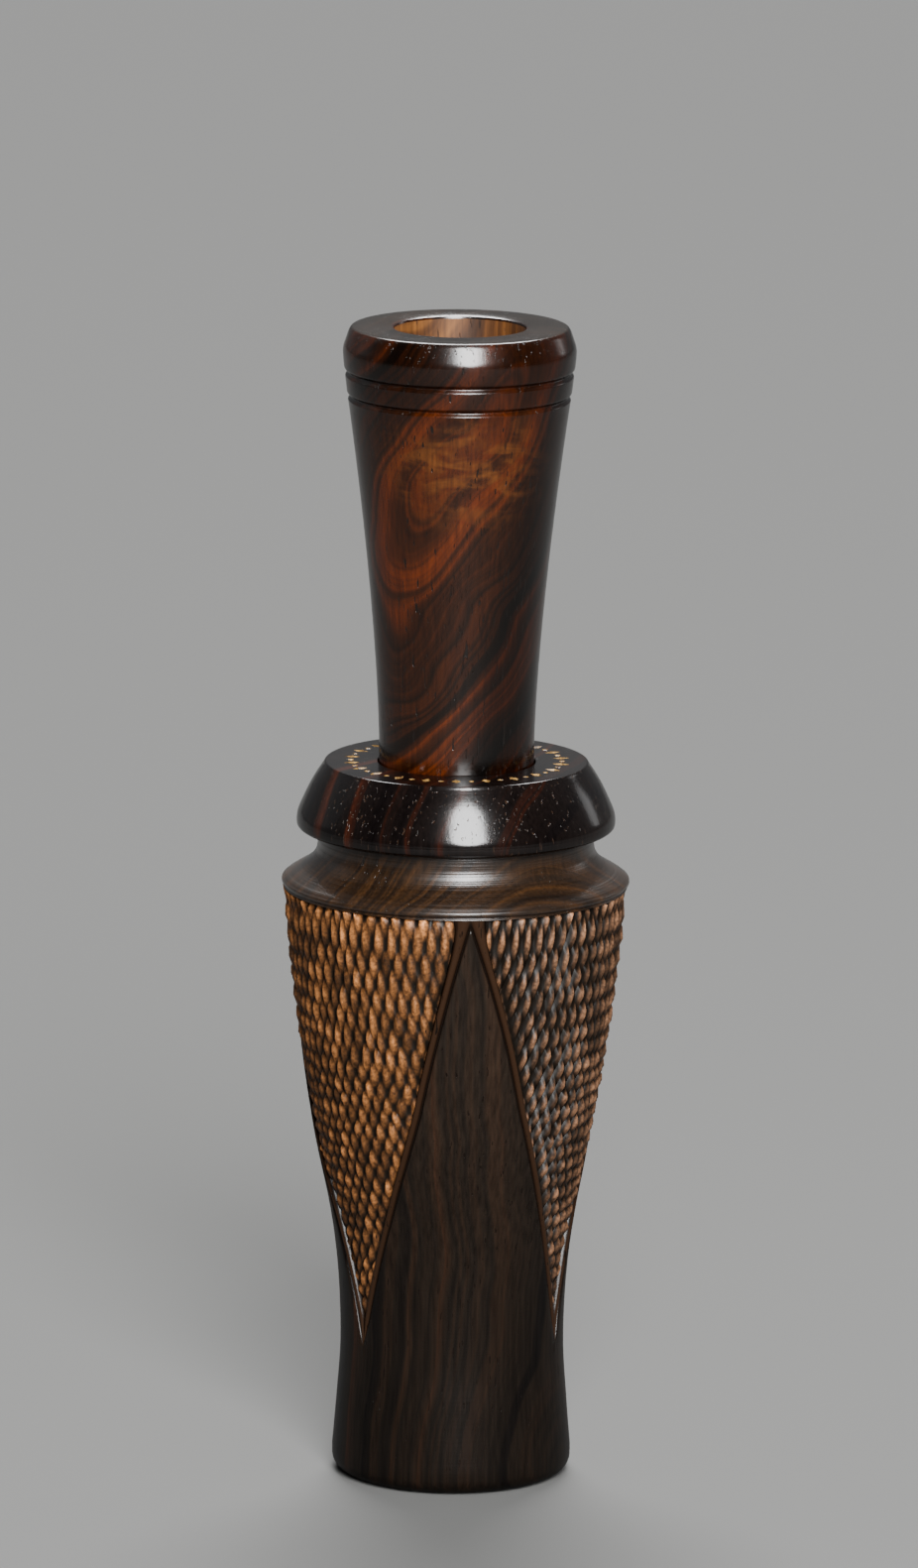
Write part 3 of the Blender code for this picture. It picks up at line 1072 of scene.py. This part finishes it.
@dataclass
class Barrel:
    """The barrel: turned neck, cove and foot, checkered panels between plain spear points."""

    line: BarrelLine = field(default_factory=BarrelLine)
    bore: float = 7.94
    socket: float = 9.52
    socket_floor: float = 55.7
    spigot: float = 12.7
    spigot_top: float = 81.2
    neck: float = 16.0
    neck_top: float = 76.12
    # The shoulder's finish covers what is above the border groove and outside this radius.
    groove_foot: float = 69.3
    shoulder_inside: float = 15.0
    # How far the turned core lies under the checkering and the spears.
    floor_depth: float = 1.0

    def core_outline(self) -> Outline:
        """The turned core: bore, spigot, neck, cove and the floor under the checkering."""
        outline = [(12.0, 0.0)]
        outline += arc((self.bore + 1.2, 1.2), 1.2, -90, -180, 6)
        outline += soften(
            [
                (self.bore, 1.3, 0.0),
                (self.bore, self.socket_floor, 0.1),
                (self.socket, self.socket_floor, 0.1),
                (self.socket, self.spigot_top, 0.4),
                (self.spigot, self.spigot_top, 0.4),
                (self.spigot, self.neck_top, 0.0),
                (self.neck, self.neck_top, 0.15),
                (self.neck, 74.7, 0.0),
            ]
        )
        outline += smooth_curve(
            [(16.0, 74.5), (16.2, 73.6), (16.85, 72.65), (17.8, 71.9), (18.9, 71.25), (19.75, 70.7)], 7
        )
        outline += soften(
            [
                (19.8, 70.62, 0.0),
                (20.12, 70.42, 0.12),
                (20.15, 70.1, 0.08),
                (19.72, 69.72, 0.08),
                (19.9, 69.52, 0.03),
                (19.2, self.groove_foot, 0.0),
            ]
        )
        heights = np.linspace(68.8, 16.5, 12)
        outline += [(float(self.line.radius(z)) - self.floor_depth, z) for z in heights]
        outline += [(12.0, 15.0)]
        return outline

    def build(self, finishes: "CallFinishes") -> Piece:
        """Makes the barrel as one piece.

        Args:
            finishes: The call's materials.

        Returns:
            The finished barrel.
        """
        core = turn("barrel_core", self.core_outline(), 256)
        dress(core, finishes.barrel_skin)
        dress(core, finishes.bored_wood, lambda r, z: r < self.socket + 0.2 or z > self.neck_top)
        dress(
            core,
            finishes.shoulder_wood,
            lambda r, z: self.groove_foot < z <= self.neck_top and r > self.shoulder_inside,
        )
        smooth(core)
        spear = SpearPoint(self.line)
        points = [spear.build()]
        points += [copy_turned(points[0], turned) for turned in (120.0, 240.0)]
        skin = join(points, "barrel_skin")
        bpy.ops.object.mode_set(mode="EDIT")
        bpy.ops.mesh.select_all(action="SELECT")
        bpy.ops.mesh.remove_doubles(threshold=0.01 * MM)
        bpy.ops.mesh.normals_make_consistent(inside=False)
        bpy.ops.object.mode_set(mode="OBJECT")
        dress(skin, finishes.barrel_skin)
        smooth(skin, 60.0)
        panels = [
            CheckeredPanel(
                self.line, spear, "left_panel", facing=-52.5, seed=1.0, shallow=(0.4, 0.32), wander=0.36
            ).build(),
            CheckeredPanel(self.line, spear, "right_panel", facing=67.5, seed=5.0).build(),
            CheckeredPanel(
                self.line, spear, "back_panel", facing=187.5, seed=8.0, shallow=(0.3, 0.1)
            ).build(),
        ]
        for panel in panels:
            dress(panel, finishes.cut_wood)
            smooth(panel, 75.0)
        return join([core, skin, *panels], "turned_barrel")


# ---------------------------------------------------------------- the band


@dataclass
class Band:
    """The polished band that caps the barrel, with a ring of punched marks on its flat top."""

    top: float = 84.2
    bore: float = 9.52
    lip: float = 9.12
    seat: float = 12.78
    seat_top: float = 81.3
    foot: float = 76.15
    mark_ring: float = 12.2
    marks: int = 22

    def outline(self) -> Outline:
        """The band's closed outline."""
        lip = [
            (self.bore, 81.9, 0.0),
            (self.lip, 82.4, 0.1),
            (self.lip, self.top, 0.15),
            (14.0, self.top, 0.0),
        ]
        shoulder = [(14.4, self.top, 0.0), (15.2, self.top, 0.3), (15.32, 83.95, 0.0)]
        side = smooth_curve([(15.32, 83.95), (16.8, 81.6), (18.2, 78.6), (18.45, 77.4)], 8)
        undercut = [
            (18.45, 77.3, 0.0),
            (18.4, 76.62, 0.7),
            (17.25, self.foot, 0.5),
            (16.4, self.foot, 0.0),
        ]
        return [
            *soften(lip),
            *soften(shoulder),
            *side[1:],
            *soften(undercut),
            (self.seat, self.foot),
            (self.seat, self.seat_top),
            (self.bore, self.seat_top),
        ]

    def punch(self, long: float, wide: float, deep: float, sides: int) -> Piece:
        """A punch's point, as it is driven into the band's top.

        Args:
            long: Its size along the band's radius.
            wide: Its size round the band.
            deep: How deep it goes.
            sides: How many facets its point has.

        Returns:
            The punch, standing on the front of the band.
        """
        deselect_all()
        struck = (0.0, -self.mark_ring * MM, self.top * MM)
        bpy.ops.mesh.primitive_cone_add(
            vertices=sides, radius1=0.0, radius2=MM, depth=2 * deep * MM, location=struck
        )
        tool = bpy.context.object
        bpy.ops.object.mode_set(mode="EDIT")
        bpy.ops.transform.resize(value=(wide, long, 1.0), center_override=struck)
        bpy.ops.object.mode_set(mode="OBJECT")
        bpy.ops.object.transform_apply(location=True, rotation=True, scale=True)
        return tool

    def build(self, finishes: "CallFinishes") -> Piece:
        """Makes the band and drives the punches into it.

        Args:
            finishes: The call's materials.

        Returns:
            The finished band.
        """
        band = turn("polished_band", self.outline(), 288)
        dress(band, finishes.band_wood)
        dress(band, finishes.band_top, lambda r, z: z > self.top - 0.02)
        diamond = self.punch(1.9, 1.05, 0.45, 4)
        dot = self.punch(0.7, 0.7, 0.3, 8)
        step = 360.0 / self.marks
        tools = [copy_turned(diamond, i * step) for i in range(self.marks)]
        tools += [copy_turned(dot, (i + 0.5) * step) for i in range(self.marks)]
        punches = join([diamond, dot, *tools], "punches")
        punches.data.materials.clear()
        punches.data.materials.append(finishes.punched)
        pick(band)
        cut = band.modifiers.new("punched", "BOOLEAN")
        cut.operation = "DIFFERENCE"
        cut.solver = "EXACT"
        cut.object = punches
        cut.material_mode = "TRANSFER"
        bpy.ops.object.modifier_apply(modifier=cut.name)
        bpy.data.objects.remove(punches)
        smooth(band)
        return band


# ---------------------------------------------------------------- the insert


@dataclass
class Insert:
    """The polished insert: bell with two fine grooves, long flare, tenon and exhaust bore."""

    top: float = 135.0
    foot: float = 56.0
    tenon: float = 8.97
    flare_start: float = 86.0
    flare_end: float = 126.4
    flare_radius: float = 12.78
    flare_power: float = 1.5
    mouth: float = 7.56
    exhaust: float = 6.2
    board_socket: float = 7.0
    board_socket_top: float = 70.0
    ring_heights: tuple[float, float] = (79.4, 74.4)

    def flare(self) -> Outline:
        """The flare's line from the bell down to the neck."""
        heights = np.linspace(self.flare_end, self.flare_start, 36)
        share = (heights - self.flare_start) / (self.flare_end - self.flare_start)
        radii = self.tenon + (self.flare_radius - self.tenon) * share**self.flare_power
        return list(zip(radii.tolist(), heights.tolist()))

    def outline(self) -> Outline:
        """The insert's closed outline, from the rim down the outside and up the bore."""
        bell = [
            (self.mouth + 0.35, self.top, 0.0),
            (12.45, self.top, 0.35),
            (12.75, 134.6, 0.3),
            (13.47, 132.5, 0.6),
            (13.36, 131.0, 0.4),
        ]
        for radius, height in ((13.2, 129.8), (12.88, 127.0)):
            bell += [
                (radius + 0.06, height + 0.42, 0.14),
                (radius - 0.4, height, 0.12),
                (radius - 0.04, height - 0.42, 0.14),
            ]
        bell.append((self.flare_radius, self.flare_end, 0.0))
        grooves = []
        for height in self.ring_heights:
            for radius, rise in ((self.tenon, 0.95), (7.75, 0.95), (7.75, -0.95), (self.tenon, -0.95)):
                grooves.append((radius, height + rise, 0.12))
        return [
            *soften(bell, 5),
            *self.flare()[1:],
            *soften(
                [
                    (self.tenon, 85.0, 0.0),
                    *grooves,
                    (self.tenon, self.foot, 0.4),
                    (self.board_socket, self.foot, 0.15),
                    (self.board_socket, self.board_socket_top, 0.1),
                    (self.exhaust, self.board_socket_top, 0.1),
                    (self.exhaust, 98.0, 0.0),
                ]
            ),
            (6.78, 116.5),
            (self.mouth, self.top - 0.35),
            (self.mouth + 0.1, self.top - 0.12),
        ]

    def build(self, finishes: "CallFinishes") -> Piece:
        """Makes the insert.

        Args:
            finishes: The call's materials.

        Returns:
            The finished insert.
        """
        insert = turn("flared_insert", self.outline(), 256)
        dress(insert, finishes.insert_wood)
        dress(insert, finishes.insert_end, lambda r, z: z > self.top - 0.05)
        dress(insert, finishes.insert_bore, lambda r, z: r < self.mouth - 0.02 and z > self.foot + 0.2)
        smooth(insert)
        return insert


# ---------------------------------------------------------------- finishes of this call


class CallFinishes:
    """The materials of the call, one for each way a surface of it was made."""

    def __init__(self) -> None:
        """Builds the materials."""
        curl = ((1.0, -12.0, 120.5), 8.0, "#42230a")
        self.insert_wood = Rosewood(
            "waxed_rosewood",
            WoodSurface.WAXED,
            INSERT_LAYERS,
            INSERT_STOPS,
            pore_share=0.7,
            curl=curl,
            shades=(
                PlankShade((0.0, 0.0, 1.0), 123.0, 131.0, 1.0, 0.5),
                PlankShade((0.976, 0.0, -0.214), -20.5, -15.5, 1.0, 0.3),
            ),
        ).material()
        self.insert_end = Rosewood(
            "end_grain_rosewood", WoodSurface.END_GRAIN, INSERT_LAYERS, BARREL_STOPS
        ).material()
        self.insert_bore = Rosewood(
            "bored_rosewood", WoodSurface.BORED, INSERT_LAYERS, BORE_STOPS
        ).material()
        self.band_wood = Rosewood(
            "polished_dark_rosewood",
            WoodSurface.POLISHED,
            BARREL_LAYERS,
            BAND_STOPS,
            pore="#241810",
            pore_share=0.75,
            lathe_rings=0.003,
        ).material()
        self.band_top = Rosewood(
            "dark_end_grain", WoodSurface.END_GRAIN, BARREL_LAYERS, BAND_STOPS, pore_share=0.3
        ).material()
        self.barrel_skin = Rosewood(
            "hand_rubbed_rosewood",
            WoodSurface.HAND_RUBBED,
            BARREL_LAYERS,
            BARREL_STOPS,
            lathe_rings=0.01,
            # The skin is darker towards the foot.
            shades=(PlankShade((0.0, 0.0, 1.0), 0.0, 60.0, 0.52, 1.05),),
            bead_colour="#22150c",
        ).material()
        self.shoulder_wood = Rosewood(
            "buffed_rosewood", WoodSurface.BUFFED, SHOULDER_LAYERS, SHOULDER_STOPS, lathe_rings=0.05
        ).material()
        self.bored_wood = Rosewood(
            "bored_barrel_rosewood", WoodSurface.BORED, BARREL_LAYERS, INSERT_STOPS
        ).material()
        self.cut_wood = Rosewood(
            "checkered_rosewood",
            WoodSurface.CHECKERED,
            BARREL_LAYERS,
            BARREL_STOPS,
            pore_share=0.2,
            cut_colours=("#744a28", "#644733", "#0b0704"),
            fibre_contrast=0.6,
        ).material()
        # The punch marks' pale gold is partly wax left in them and partly a painted glint.
        self.punched = self.punch_wax_and_painted_glint("punch_marks_wax_and_painted_glint", "#94733f")
        self.rubber = self.plain("moulded_nitrile", "#0e0e0f", 0.42, 1.52, 0.02)
        self.acrylic = self.plain("machined_acrylic", "#16171a", 0.16, 1.49, 0.003)
        self.film = self.plain("frosted_polyester_film", "#d9d6c6", 0.38, 1.6, 0.004)
        self.cork = self.cork_wood()

    @staticmethod
    def punch_wax_and_painted_glint(name: str, code: str) -> Material:
        """Wood pressed smooth and waxed by the punch: its pale gold stands partly for wax and partly for a
        painted glint, and its gloss lets each small facet glint too.

        Args:
            name: The material's name.
            code: Its hex colour.

        Returns:
            The new material.
        """
        made, tree, shader = new_finish(name)
        place = add_node(tree, "TexCoord").outputs["Object"]
        grit = add_node(tree, "TexNoise", sockets={"Vector": place, "Scale": 1500.0, "Detail": 2.0})
        colour = add_ramp(tree, grit.outputs["Fac"], ((0.35, "#3a2814"), (0.65, code)))
        tree.links.new(colour, shader.inputs["Base Color"])
        shader.inputs["Roughness"].default_value = 0.2
        shader.inputs["Coat Weight"].default_value = 1.0
        shader.inputs["Coat Roughness"].default_value = 0.1
        return made

    @staticmethod
    def plain(name: str, code: str, roughness: float, ior: float, grain: float) -> Material:
        """A moulded or machined plastic with its fine surface grain.

        Args:
            name: The material's name.
            code: Its hex colour.
            roughness: Its typical roughness.
            ior: Its index of refraction.
            grain: How deep the grain is, in millimetres.

        Returns:
            The new material.
        """
        made, tree, shader = new_finish(name)
        place = add_node(tree, "TexCoord").outputs["Object"]
        grit = add_node(tree, "TexNoise", sockets={"Vector": place, "Scale": 4000.0, "Detail": 3.0})
        cloud = add_node(tree, "TexNoise", sockets={"Vector": place, "Scale": 180.0, "Detail": 2.0})
        shade = add_node(tree, "MapRange", sockets={0: cloud.outputs["Fac"], 3: 0.8, 4: 1.2}).outputs[0]
        tinted = add_node(
            tree, "VectorMath", {"operation": "SCALE"}, {0: hex_colour(code)[:3], "Scale": shade}
        )
        tree.links.new(tinted.outputs[0], shader.inputs["Base Color"])
        shader.inputs["Roughness"].default_value = roughness
        shader.inputs["IOR"].default_value = ior
        bump = add_node(
            tree, "Bump", sockets={"Distance": grain * MM, "Height": grit.outputs["Fac"]}
        )
        tree.links.new(bump.outputs["Normal"], shader.inputs["Normal"])
        return made

    @staticmethod
    def cork_wood() -> Material:
        """Natural cork, sliced: pale tan grains with dark lenticels between them.

        Returns:
            The new material.
        """
        made, tree, shader = new_finish("sliced_cork")
        place = add_node(tree, "TexCoord").outputs["Object"]
        # Cork grains are 0.5 to 1.5 mm across.
        grains = add_node(tree, "TexVoronoi", sockets={"Vector": place, "Scale": 1100.0})
        patches = add_node(
            tree, "TexNoise", sockets={"Vector": place, "Scale": 700.0, "Detail": 4.0, "Roughness": 0.7}
        )
        colour = add_ramp(
            tree,
            patches.outputs["Fac"],
            ((0.32, "#4a2f1a"), (0.42, "#a87c4e"), (0.6, "#c49a68"), (0.75, "#d8b384")),
        )
        tree.links.new(colour, shader.inputs["Base Color"])
        shader.inputs["Roughness"].default_value = 0.85
        bump = add_node(
            tree, "Bump", sockets={"Distance": 0.05 * MM, "Height": grains.outputs["Distance"]}
        )
        tree.links.new(bump.outputs["Normal"], shader.inputs["Normal"])
        return made


# ---------------------------------------------------------------- the studio


@dataclass
class Studio:
    """Camera, lights and floor. Sizes here are metres and degrees."""

    camera_place: tuple[float, float, float] = (0.00031, -1.3635, 0.3613)
    camera_pitch: float = 11.6
    camera_roll: float = 0.47
    focal_length: float = 184.3

    def build(self) -> None:
        """Sets up the camera, the soft lights and the pale floor."""
        self.add_camera()
        # A tall window-like softbox beside the camera, a broad top light and two side fills.
        self.add_light("key_softbox", 9.5, 31.0, 1.5, (0.6, 1.15), 105.0)
        self.add_light("top_softbox", 20.0, 80.0, 1.2, (0.5, 0.5), 3.0)
        self.add_light("right_strip", 124.0, 14.0, 1.2, (0.2, 0.35), 0.4)
        self.add_light("left_fill", -115.0, 25.0, 1.4, (0.7, 0.9), 0.25)
        self.add_light("far_floor", 180.0, 50.0, 4.4, (3.0, 2.0), 520.0)
        self.add_world()
        self.add_floor()

    def add_camera(self) -> None:
        """Adds the camera at the viewing angle."""
        data = bpy.data.cameras.new("camera")
        data.sensor_fit = "VERTICAL"
        data.sensor_height = 24.0
        data.lens = self.focal_length
        data.clip_start = 0.01
        camera = bpy.data.objects.new("camera", data)
        bpy.context.scene.collection.objects.link(camera)
        tilt = Matrix.Rotation(math.radians(90.0 - self.camera_pitch), 4, "X")
        roll = Matrix.Rotation(math.radians(self.camera_roll), 4, "Z")
        camera.matrix_world = Matrix.Translation(self.camera_place) @ tilt @ roll
        bpy.context.scene.camera = camera

    def add_light(
        self,
        name: str,
        azimuth: float,
        elevation: float,
        distance: float,
        size: tuple[float, float],
        watts: float,
    ) -> None:
        """Adds a soft rectangular light that faces the call.

        Args:
            name: The light's name.
            azimuth: Degrees to the right of the front.
            elevation: Degrees above the table.
            distance: Metres from the call's middle.
            size: Width and height of the light.
            watts: Its power.
        """
        data = bpy.data.lights.new(name, "AREA")
        data.shape = "ELLIPSE"
        data.size, data.size_y = size
        data.energy = watts
        lamp = bpy.data.objects.new(name, data)
        bpy.context.scene.collection.objects.link(lamp)
        side, rise = math.radians(azimuth), math.radians(elevation)
        away = Vector((math.sin(side) * math.cos(rise), -math.cos(side) * math.cos(rise), math.sin(rise)))
        lamp.location = Vector((0.0, 0.0, 0.07)) + away * distance
        lamp.rotation_euler = away.to_track_quat("Z", "Y").to_euler()

    def add_world(self) -> None:
        """Fills the room with pale light, brighter behind the call than in front of it."""
        world = bpy.data.worlds.new("studio")
        world.use_nodes = True
        tree = world.node_tree
        background = tree.nodes["Background"]
        background.inputs["Color"].default_value = hex_colour("#d8dadc")
        direction = add_node(tree, "TexCoord").outputs["Generated"]
        backwards = add_node(tree, "SeparateXYZ", sockets={0: direction}).outputs["Y"]
        strength = add_node(
            tree,
            "MapRange",
            {"interpolation_type": "SMOOTHSTEP"},
            {0: backwards, 1: -0.5, 2: 0.6, 3: 0.03, 4: 0.32},
        ).outputs[0]
        tree.links.new(strength, background.inputs["Strength"])
        bpy.context.scene.world = world

    def add_floor(self) -> None:
        """Adds the plain floor that the call stands on. Its grey is lit up to a pale tone."""
        deselect_all()
        bpy.ops.mesh.primitive_plane_add(size=12.0, location=(0.0, 3.0, -0.0001))
        floor = bpy.context.object
        floor.name = "studio_floor"
        made, _, shader = new_finish("pale_paper")
        shader.inputs["Base Color"].default_value = hex_colour("#484847")
        shader.inputs["Roughness"].default_value = 0.9
        floor.data.materials.append(made)


# ---------------------------------------------------------------- putting it together


def settle(piece: Piece, body: str, replaced: str | None = None) -> None:
    """Ties a finished piece to its moving body and reports it.

    Args:
        piece: The finished piece.
        body: The body that it moves with.
        replaced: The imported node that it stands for.
    """
    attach(piece, body)
    if replaced:
        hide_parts(replaced)
    LOG.info("%s rides on %s with %d faces", piece.name, body, len(piece.data.polygons))


def repaint(node: str, material: Material) -> None:
    """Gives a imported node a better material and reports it."""
    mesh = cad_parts[node].data
    for index in range(len(mesh.materials)):
        mesh.materials[index] = material
    LOG.info("%s is dressed in %s", node, material.name)


def main() -> None:
    """Builds the studio and every piece of the call."""
    logging.basicConfig(level=logging.INFO, format="%(name)s: %(message)s")
    Studio().build()
    finishes = CallFinishes()
    settle(Barrel().build(finishes), "barrel", "barrel")
    settle(Band().build(finishes), "barrel", "barrel_band")
    settle(Insert().build(finishes), "insert", "insert")
    repaint("o_ring_upper", finishes.rubber)
    repaint("o_ring_lower", finishes.rubber)
    repaint("tone_board", finishes.acrylic)
    repaint("reed", finishes.film)
    repaint("wedge_cork", finishes.cork)


if __name__ == "__main__":
    main()
